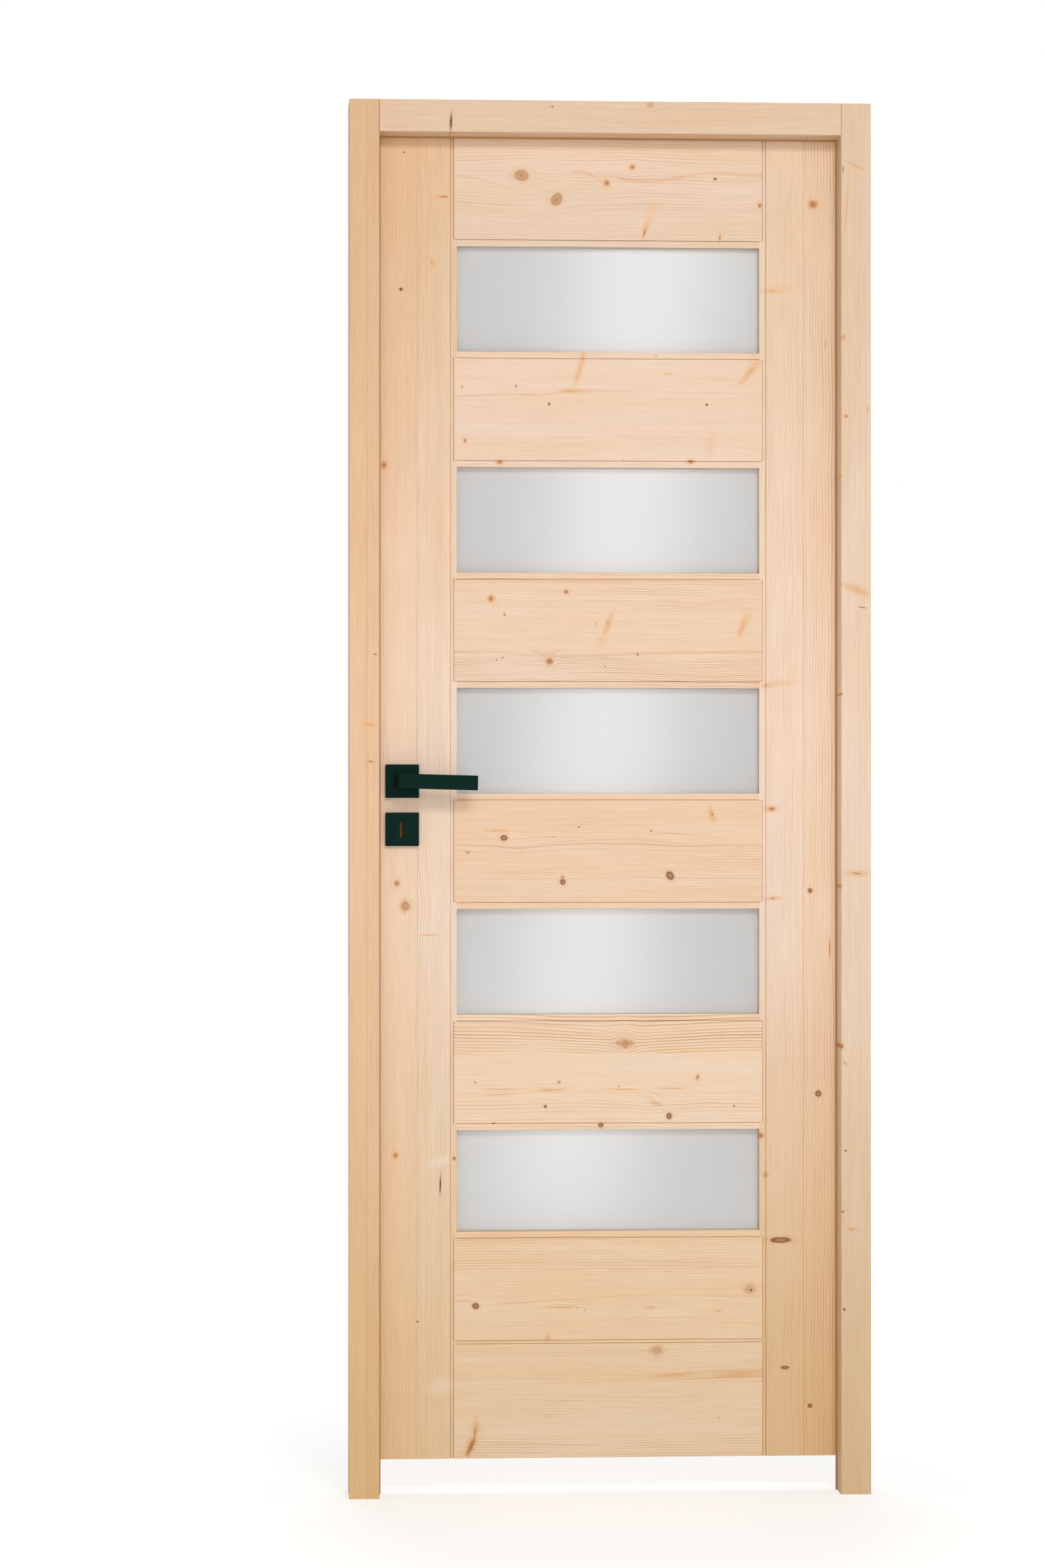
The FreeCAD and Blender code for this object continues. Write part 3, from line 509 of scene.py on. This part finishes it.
                (-467.2, 1261, 1.72, 0.32), (-458.2, 1265, 1.15, 0)]],
        seed=17),
    "middle_board_2": pine(
        "pine, middle board 2", "x", ["F7D8BC"], ring=3.6, contrast=0.31, pith=(1190, 55),
        strips=[(930.2, (211, 33, 26), 0.04, -0.02, 0.1), (987.8, (-311, -31, 12), -0.08, 0, 0.1)],
        dips=[(-528, 970, 60, 14, 3), (-282, 976, 50, 16, 3)],
        marks=[("rimmed", -547.1, 980.8, 5, 3.9, 0), ("small", -601.8, 959.2, 2.2, 1.9, 0),
               ("flame", -600.5, 959.9, 9, 1.4, -4), ("rimmed", -458.9, 914.7, 3.9, 3.9, 0),
               ("small", -459.2, 921.7, 2.5, 2.5, 0), ("rimmed", -297.1, 924.2, 6.2, 5.2, -50),
               ("core", -233.4, 1016.8, 4, 1.5, -70), ("flame", -234.1, 1015.8, 15, 6, -74),
               ("small", -434.5, 997.4, 1.4, 1.4, 0), ("small", -326, 991.3, 1.9, 1.5, -30),
               ("core", -474.6, 982.1, 1.6, 0.8, 0), ("flame", -474.6, 982.1, 6, 1.2, 0),
               ("flame", -292.5, 987.7, 28, 1.4, -5), ("flame", -558.4, 991.8, 18, 2.4, 0)],
        lines=[[(-619.5, 970.4, 1.38, 0.43), (-561.5, 968.8, 1.38, 0.43), (-528.4, 965.8, 2.07, 0.54),
                (-488.3, 968.8, 1.26, 0.47), (-428.1, 972.3, 1.38, 0.54), (-370.9, 972.2, 1.38, 0.5),
                (-327.7, 971.2, 1.49, 0.5), (-294.5, 968.7, 1.49, 0.5), (-227, 969.1, 1.15, 0.43),
                (-155.5, 969.1, 1.15, 0.43)],
               [(-513.4, 970.8, 0.92, 0), (-468.3, 974.8, 1.15, 0.29), (-374.9, 979.2, 1.15, 0.36),
                (-327.7, 977.2, 1.15, 0.36), (-294.5, 973.2, 1.15, 0.29), (-222, 971.6, 0.92, 0.14),
                (-155.4, 971.6, 0.69, 0.07)],
               [(-619.5, 919.9, 0.8, 0.25), (-463.2, 919.2, 0.8, 0.22), (-307.6, 921.6, 0.92, 0.22),
                (-272.3, 920.5, 1.15, 0.36), (-155.5, 919.4, 1.03, 0.32)],
               [(-619.5, 961.9, 0.92, 0.22), (-528.4, 958.8, 1.03, 0.29), (-428.1, 964.8, 0.92, 0.25),
                (-302.5, 961.7, 0.92, 0.25), (-155.5, 961.6, 0.8, 0.22)]],
        seed=23),
    "middle_board_1": pine(
        "pine, middle board 1", "x", ["FBE1C7"], ring=5.0, contrast=0.36, pith=(400, 60),
        strips=[(598.4, (211, 37, 26), -0.24, 0.02, 0.1), (657.4, (-311, -31, 12), 0.75, -0.02, 0.1)],
        dips=[(-365, 692, 130, 46, 10), (-365, 692, 40, 26, 4), (-313, 582, 44, 24, 4)],
        marks=[("soft", -365.4, 672.3, 7, 10.5, 88), ("slitted", -364.9, 671.3, 3.6, 6, 0),
               ("small", -464.3, 614.3, 2.3, 2.1, 0), ("small", -590.5, 614.1, 1.3, 1.3, 0),
               ("small", -255.6, 621.2, 4, 2.2, 65), ("small", -373.9, 607.9, 1.1, 1.1, 0),
               ("flame", -548.4, 603.9, 36, 1.5, 0), ("flame", -478.3, 602.7, 26, 3, 0),
               ("flame", -553.4, 596, 36, 1.4, 3), ("flame", -367.9, 603.2, 30, 1.8, 0),
               ("flame", -292.5, 604.3, 26, 2, 0), ("flame", -319.7, 582, 13, 3, -14),
               ("dot", -485, 578.1, 2.2, 2.1, 0), ("rimmed", -298.6, 562.9, 3.9, 4.6, 0),
               ("dot", -200.6, 577.5, 1.2, 1.2, 0), ("dot", -562.7, 553, 1.7, 1, 0),
               ("rimmed", -401.4, 549.3, 3.8, 3, 0)],
        lines=[[(-619.5, 704.1, 1.26, 0.29), (-543.4, 702.9, 1.49, 0.36), (-453.2, 696.6, 1.38, 0.36),
                (-393, 690.4, 1.15, 0.29), (-362.9, 687.3, 0.92, 0.14), (-312.6, 695.2, 0.92, 0.11),
                (-155.5, 700.7, 0.92, 0.11)],
               [(-619.5, 698.1, 1.26, 0.32), (-543.4, 696.9, 1.49, 0.36), (-453.2, 690.6, 1.38, 0.32),
                (-398, 684.4, 1.15, 0.22), (-372.9, 681.3, 0.92, 0)],
               [(-619.5, 692.1, 1.15, 0.25), (-543.4, 690.9, 1.26, 0.29), (-453.2, 686.6, 1.15, 0.25),
                (-403.1, 681.4, 0.92, 0.14), (-377.9, 678.3, 0.92, 0)],
               [(-619.5, 599.2, 0.69, 0.14), (-453.2, 598.6, 0.69, 0.18), (-155.5, 597.3, 0.69, 0.18)],
               [(-334.7, 600.1, 0.92, 0), (-322.7, 598, 1.15, 0.29), (-308.6, 591, 1.15, 0.29),
                (-299.6, 580.9, 0.92, 0)],
               [(-342.8, 592.1, 0.92, 0), (-328.7, 590, 1.38, 0.32), (-314.6, 583, 1.38, 0.29),
                (-304.6, 573.9, 0.92, 0)]],
        seed=29),
    "lower_board": pine(
        "pine, lower board", "x", ["F8DBB9"], ring=4.2, contrast=0.19, pith=(560, 60),
        strips=[(253.1, (211, 37, 26), -0.04, 0, 0.1), (333.2, (-311, -31, 12), 0.2, 0, 0.1)],
        marks=[("rimmed", -589.8, 279.5, 4.8, 4.3, 0), ("core", -436.5, 275.7, 2.6, 0.9, -10),
               ("flame", -461.3, 276.5, 24, 2.5, 0), ("core", -425.5, 272.3, 3, 0.8, 88),
               ("dot", -175, 300.6, 1.8, 1.8, 0), ("soft", -176.8, 302.6, 7, 6, 0),
               ("flame", -325.7, 275.6, 9, 2.5, 0), ("flame", -224.1, 269.9, 7, 2.5, 0),
               ("flame", -481.3, 228.7, 9, 5, 80), ("flame", -302.6, 329.5, 10, 1, 0)],
        lines=[[(-619.5, 343.6, 0.92, 0.22), (-403.1, 344.2, 1.03, 0.29), (-302.6, 344, 1.03, 0.29),
                (-155.6, 339.6, 1.03, 0.25)],
               [(-619.5, 339.6, 0.69, 0.14), (-403.1, 340.2, 0.8, 0.22), (-155.6, 335.6, 0.8, 0.18)],
               [(-619.5, 286.2, 1.61, 0.36), (-609.5, 287.1, 1.84, 0.4), (-601.5, 287.5, 1.72, 0.36),
                (-597.5, 283.5, 1.61, 0.29), (-594.5, 275.5, 1.15, 0)],
               [(-578.4, 281.4, 1.15, 0), (-558.4, 282.2, 1.38, 0.29), (-495.3, 285.8, 1.38, 0.32),
                (-415.1, 290.2, 1.15, 0.29), (-360.9, 293.9, 1.15, 0.22), (-294.6, 294.4, 0.92, 0.25),
                (-222.1, 291.9, 1.03, 0.25), (-155.6, 291.9, 1.15, 0.29)],
               [(-619.5, 295.6, 1.03, 0.22), (-563.4, 292.3, 0.92, 0.14), (-503.4, 295.8, 0.69, 0)],
               [(-433.2, 256.3, 0.69, 0), (-362.9, 257.8, 0.8, 0.22), (-302.6, 260.4, 0.92, 0.25),
                (-267.4, 260.6, 0.92, 0.25), (-242.2, 258, 0.92, 0.14), (-222.1, 255.8, 0.57, 0)],
               [(-619.4, 254.7, 0.69, 0.11), (-403.1, 253.1, 0.69, 0.11), (-155.6, 250.3, 0.69, 0.11)]],
        seed=31),
    "bottom_board": pine(
        "pine, bottom board", "x", ["F7DDBD"], ring=4.0, contrast=0.41, pith=(-160, 40),
        strips=[(79.1, (211, 37, 26), -0.22, 0.02, 0.1), (161.1, (-311, -31, 12), 0.12, 0, 0.1)],
        dips=[(-318, 186, 30, 30, 4)],
        marks=[("soft", -317, 210.4, 6.5, 6.5, 0), ("flame", -193.9, 173.4, 46, 6, 3),
               ("flame", -292.6, 173.2, 40, 4, 2), ("core", -596.9, 68.8, 19, 4.2, 66),
               ("flame", -596.4, 70.8, 27, 9, 67), ("flame", -589.9, 94.7, 19, 6.5, 84),
               ("core", -590.9, 88.7, 12, 1.3, 80), ("plume", -478.3, 113.7, 14, 3, 0),
               ("small", -224.1, 108.8, 1.2, 1.1, 0), ("plume", -461.3, 135.6, 16, 2, 0)],
        lines=[[(-619.4, 176.8, 0.92, 0.11), (-453.2, 174.5, 0.92, 0.14), (-322.7, 174.4, 1.15, 0.22),
                (-242.3, 177.8, 1.49, 0.36), (-155.6, 180.1, 1.72, 0.4)],
               [(-403.1, 167.1, 0.92, 0), (-302.6, 167.3, 1.15, 0.25), (-222.1, 169.6, 1.49, 0.32),
                (-155.6, 170.1, 1.49, 0.36)],
               [(-619.4, 145.9, 0.8, 0.07), (-453.2, 143.5, 0.92, 0.18), (-302.6, 141.2, 1.03, 0.18),
                (-155.6, 142, 0.8, 0.14)],
               [(-591.4, 76.7, 0.92, 0), (-581.4, 75.7, 1.38, 0.29), (-523.4, 73.1, 1.49, 0.25),
                (-453.2, 70.5, 1.38, 0.22), (-362.9, 68.7, 0.92, 0)],
               [(-619.4, 61, 1.03, 0.22), (-503.4, 59, 1.15, 0.22), (-352.9, 55.6, 1.03, 0.18),
                (-155.6, 56.8, 1.03, 0.22)]],
        seed=37),
}

# Satin glass: clear float with one etched face, so light comes through it evenly and a lamp
# shows in it only as a soft band
SATIN_GLASS, tree = new_material("satin glass, etched")
# The etch's grain is drawn 1.2 mm wide, coarser than a real one, so that it shows
etch = node(tree, "MapRange", [speckle(tree, (1.2, 1.2, 1.2)), 0.3, 0.7, 0.13, 0.155])
finish_material(tree, node(tree, "BsdfPrincipled", {
    "Base Color": colour("EAEAEA"), "Roughness": etch, "IOR": 1.5, "Specular IOR Level": 0.28,
    "Transmission Weight": 0.35}))

# Seal: soft extruded TPE, a dull light brown to go with the pine
SEAL, tree = new_material("TPE seal, brown")
skin = speckle(tree, (2.0, 2.0, 2.0), detail=3.0)
tint = node(tree, "Mix", [skin, colour("AE7E4C"), colour("BE8E5A")], data_type="RGBA")
finish_material(tree, node(tree, "BsdfPrincipled", {
    "Base Color": tint, "Roughness": 0.75, "IOR": 1.5}))


def brushed_metal(name, light, dark, along, rough):
    """Metal brushed along one axis: lines about 0.4 mm apart and 40 mm long that spread its
    gloss sideways."""
    material, tree = new_material(name)
    sizes = [0.4, 0.4, 0.4]
    sizes["xyz".index(along)] = 40
    lines = speckle(tree, sizes)
    tint = node(tree, "Mix", [lines, colour(light), colour(dark)], data_type="RGBA")
    gloss = node(tree, "MapRange", [lines, 0.3, 0.7, rough - 0.05, rough + 0.05])
    bump = node(tree, "Bump", {"Strength": 0.15, "Distance": 0.00005, "Height": lines})
    finish_material(tree, node(tree, "BsdfPrincipled", {
        "Base Color": tint, "Metallic": 1.0, "Roughness": gloss, "Normal": bump}))
    return material


# Hinges and lock: a pale grey with soft upright lights. Screws: a plainer grey, a little
# glossier. Tumblers: stamped brass made far darker than bare brass, as painted shade for the
# dark of the keyhole, with a dull golden gleam.
HINGE_STEEL = brushed_metal("nickel plated steel, brushed", "D2D0CB", "B9B6B0", "z", 0.34)
LOCK_STEEL = brushed_metal("stainless steel, brushed", "CFCDC8", "B4B1AB", "z", 0.32)
SCREW_STEEL = brushed_metal("zinc plated screw", "C9C8C4", "A9A8A3", "x", 0.30)
SHADED_BRASS = brushed_metal("brass, stamped, darkened as painted shade", "64502C", "3C2E18", "z", 0.40)

# Lever set: zinc casting in matt black powder coat. Its fine orange peel breaks up the gloss of
# a slightly green black.
BLACK_COAT, tree = new_material("powder coat, matt black")
peel = speckle(tree, (0.7, 0.7, 0.7))
tint = node(tree, "Mix", [peel, colour("010F0B"), colour("051A14")], data_type="RGBA")
gloss = node(tree, "MapRange", [peel, 0.3, 0.7, 0.36, 0.42])
bump = node(tree, "Bump", {"Strength": 0.2, "Distance": 0.00005, "Height": peel})
finish_material(tree, node(tree, "BsdfPrincipled", {
    "Base Color": tint, "Roughness": gloss, "IOR": 1.5, "Specular IOR Level": 0.12,
    "Specular Tint": (0.35, 1.0, 0.85, 1), "Normal": bump}))

for name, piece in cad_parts.items():
    for slot in piece.material_slots:
        if name in WOODS:
            slot.material = WOODS[name]
        elif name.startswith("glass"):
            slot.material = SATIN_GLASS
        elif name.startswith("seal"):
            slot.material = SEAL
        elif name.startswith("hinge"):
            slot.material = HINGE_STEEL
        elif name.startswith(("lever", "rose", "key_rose")):
            slot.material = BLACK_COAT
        else:
            slot.material = LOCK_STEEL


def alone(piece):
    """Selects one piece and nothing else."""
    bpy.ops.object.select_all(action="DESELECT")
    piece.select_set(True)
    bpy.context.view_layer.objects.active = piece


def settle(piece):
    """Puts a finished piece's place and turn into its mesh."""
    alone(piece)
    bpy.ops.object.transform_apply(location=True, rotation=True, scale=True)


def soften(piece, width):
    """Rounds the active piece's edges by a bevel of two steps."""
    edge = piece.modifiers.new("edge", "BEVEL")
    edge.width = width
    edge.segments = 2
    bpy.ops.object.modifier_apply(modifier="edge")


# Countersunk screw in metres: its head stands 0.25 mm proud, with a cross recess cut into it.
# Heights are above the plate.
HEAD_RADIUS = 0.0041
HEAD_DEPTH = 0.0012
HEAD_MIDDLE = -0.00035
HEAD_FOOT = -0.00095
HEAD_TAPER = 0.72            # the foot's radius, as a share of the top's
RECESS_SIZE = (0.0048, 0.0011, 0.0014)
RECESS_MIDDLE = 0.0001
SCREW_EDGE = 0.0002


def screw_head():
    """The master screw, at the origin and facing up."""
    bpy.ops.object.select_all(action="DESELECT")
    bpy.ops.mesh.primitive_cylinder_add(vertices=40, radius=HEAD_RADIUS, depth=HEAD_DEPTH,
                                        location=(0, 0, HEAD_MIDDLE))
    head = bpy.context.object
    bpy.ops.object.mode_set(mode="EDIT")
    bpy.ops.mesh.select_mode(type="FACE")
    bpy.ops.mesh.select_all(action="DESELECT")
    bpy.ops.object.mode_set(mode="OBJECT")
    for face in head.data.polygons:
        face.select = face.normal.z < -0.9
    bpy.ops.object.mode_set(mode="EDIT")
    bpy.ops.transform.resize(value=(HEAD_TAPER, HEAD_TAPER, 1), center_override=(0, 0, HEAD_FOOT))
    bpy.ops.object.mode_set(mode="OBJECT")
    for turn in (45, 135):
        bpy.ops.mesh.primitive_cube_add(size=1, location=(0, 0, RECESS_MIDDLE),
                                        rotation=(0, 0, radians(turn)))
        blade = bpy.context.object
        blade.scale = RECESS_SIZE
        settle(blade)
        alone(head)
        recess = head.modifiers.new("recess", "BOOLEAN")
        recess.operation = "DIFFERENCE"
        recess.object = blade
        bpy.ops.object.modifier_apply(modifier="recess")
        bpy.data.objects.remove(blade)
    soften(head, SCREW_EDGE)
    return head


def screw(name, master, place, turn, body):
    """A copy of the master with its own mesh, its head at a place and turned by so many degrees
    about y to face out."""
    piece = master.copy()
    piece.data = master.data.copy()
    piece.name = name
    bpy.context.collection.objects.link(piece)
    piece.location = place
    piece.rotation_euler = (0, radians(turn), 0)
    settle(piece)
    piece.data.materials.clear()
    piece.data.materials.append(SCREW_STEEL)
    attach(piece, body)


# The hinge plates face each other across the gap beside the leaf: their x, and the turn of their
# screws. Each screw has its place in depth and its height above the hinge's middle.
HINGE_PLATES = (("frame", -0.030, -90), ("leaf", -0.035, 90))
HINGE_SCREWS = ((0.024, 0.042), (0.034, 0.016), (0.024, -0.016), (0.034, -0.042))
LEAF_MIDDLE_Y = 0.025
FACEPLATE_X = -0.7438        # the bevelled faceplate's face at the middle of the leaf
PLATE_END = 0.010            # from the end of a plate to its screw

master = screw_head()
for body, plate_x, turn in HINGE_PLATES:
    for hinge in (1, 2, 3):
        low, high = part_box(f"hinge_{body}_half_{hinge}")
        middle = (low[2] + high[2]) / 2
        for i, (deep, up) in enumerate(HINGE_SCREWS):
            screw(f"screw_hinge_{body}_{hinge}_{i + 1}", master, (plate_x, deep, middle + up),
                  turn, body)
low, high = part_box("strike_plate")
for i, up in enumerate((low[2] + PLATE_END, high[2] - PLATE_END)):
    screw(f"screw_strike_{i + 1}", master, (high[0], LEAF_MIDDLE_Y, up), 90, "frame")
low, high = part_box("lock_case")
for i, up in enumerate((low[2] + PLATE_END, high[2] - PLATE_END)):
    screw(f"screw_faceplate_{i + 1}", master, (FACEPLATE_X, LEAF_MIDDLE_Y, up), -90, "leaf")
bpy.data.objects.remove(master)

# Lock tumblers: stamped brass leaves that hang behind the keyhole at rest, and that a key lifts.
# Each has its offset to the right of the keyhole, its place in depth and its width. The first
# covers the right of the hole only, so its edge catches the light.
TUMBLERS = ((0.0031, 0.0125, 0.0036), (0.0, 0.0200, 0.0094), (0.0, 0.0218, 0.0094))
TUMBLER_THICKNESS = 0.0012
TUMBLER_HEIGHT = 0.0240
TUMBLER_EDGE = 0.00025
KEYHOLE_X, KEYHOLE_Z = -0.700, 0.994

# The tumblers' brass is darkened as painted shade for the inside of the keyhole.
for i, (right, deep, wide) in enumerate(TUMBLERS):
    bpy.ops.mesh.primitive_cube_add(size=1, location=(KEYHOLE_X + right, deep, KEYHOLE_Z))
    tumbler = bpy.context.object
    tumbler.name = f"tumbler_{i + 1}"
    tumbler.scale = (wide, TUMBLER_THICKNESS, TUMBLER_HEIGHT)
    settle(tumbler)
    soften(tumbler, TUMBLER_EDGE)
    tumbler.data.materials.append(SHADED_BRASS)
    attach(tumbler, "leaf")
